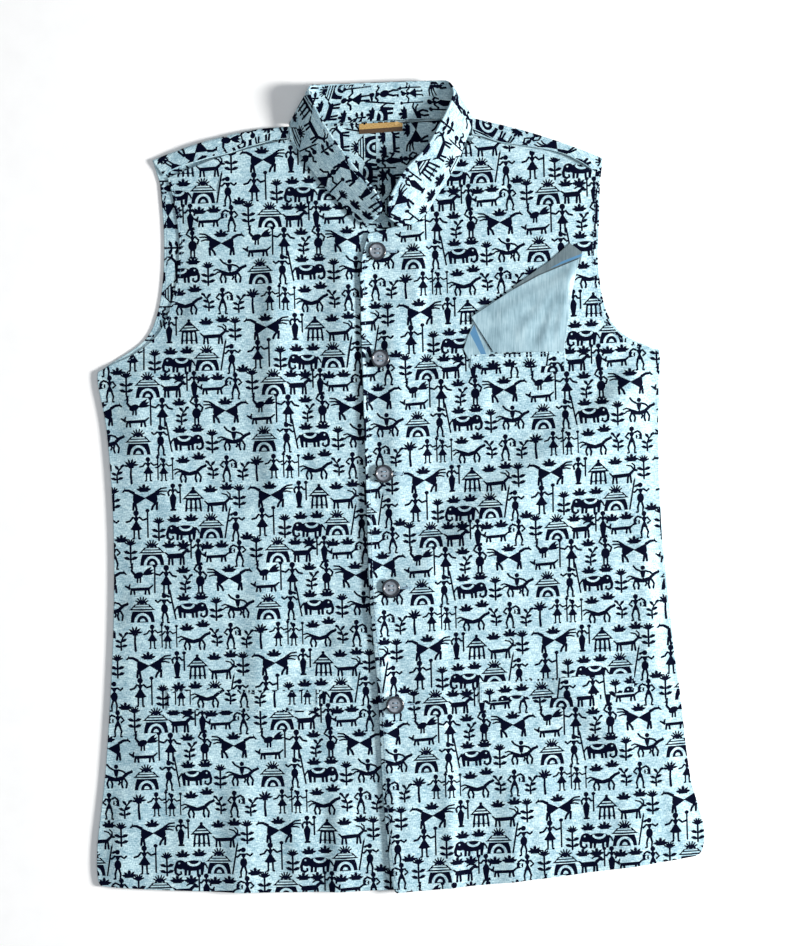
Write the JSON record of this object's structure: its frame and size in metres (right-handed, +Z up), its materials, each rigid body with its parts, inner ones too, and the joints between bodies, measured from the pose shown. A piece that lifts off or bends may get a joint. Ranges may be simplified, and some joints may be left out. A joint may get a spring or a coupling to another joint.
{
  "type": "nehru jacket",
  "caption": "Sleeveless printed silk-like Nehru jacket laid flat, stand collar open in a V, buttoned front, welt pockets and a satin pocket square.",
  "frame": {"origin": "middle of the bounding box at the surface that the jacket lies on", "axes": "+X to the wearer's left front, +Y from the hem to the collar, +Z up out of the surface"},
  "size_m": [0.5702, 0.7598, 0.0291],
  "materials": {
    "silk": "slubbed silk-like cloth with a dark navy print and a soft sheen",
    "silk_inside": "the same printed cloth, seen inside the neck and at the shoulders",
    "satin": "plain light blue satin",
    "label_weave": "gold woven label with a dark brown band, left blank",
    "button_plastic": "glossy grey-blue four-hole buttons"
  },
  "bodies": {
    "root": {"back": "silk_inside", "front_right": "silk", "front_left": "silk", "collar": "silk", "neck_label": "label_weave", "breast_welt": "silk", "lower_welt_right": "silk", "lower_welt_left": "silk", "pocket_square_near": "satin", "pocket_square_far": "satin", "button_1": "button_plastic", "button_2": "button_plastic", "button_3": "button_plastic", "button_4": "button_plastic", "button_5": "button_plastic"}
  },
  "joints": []
}
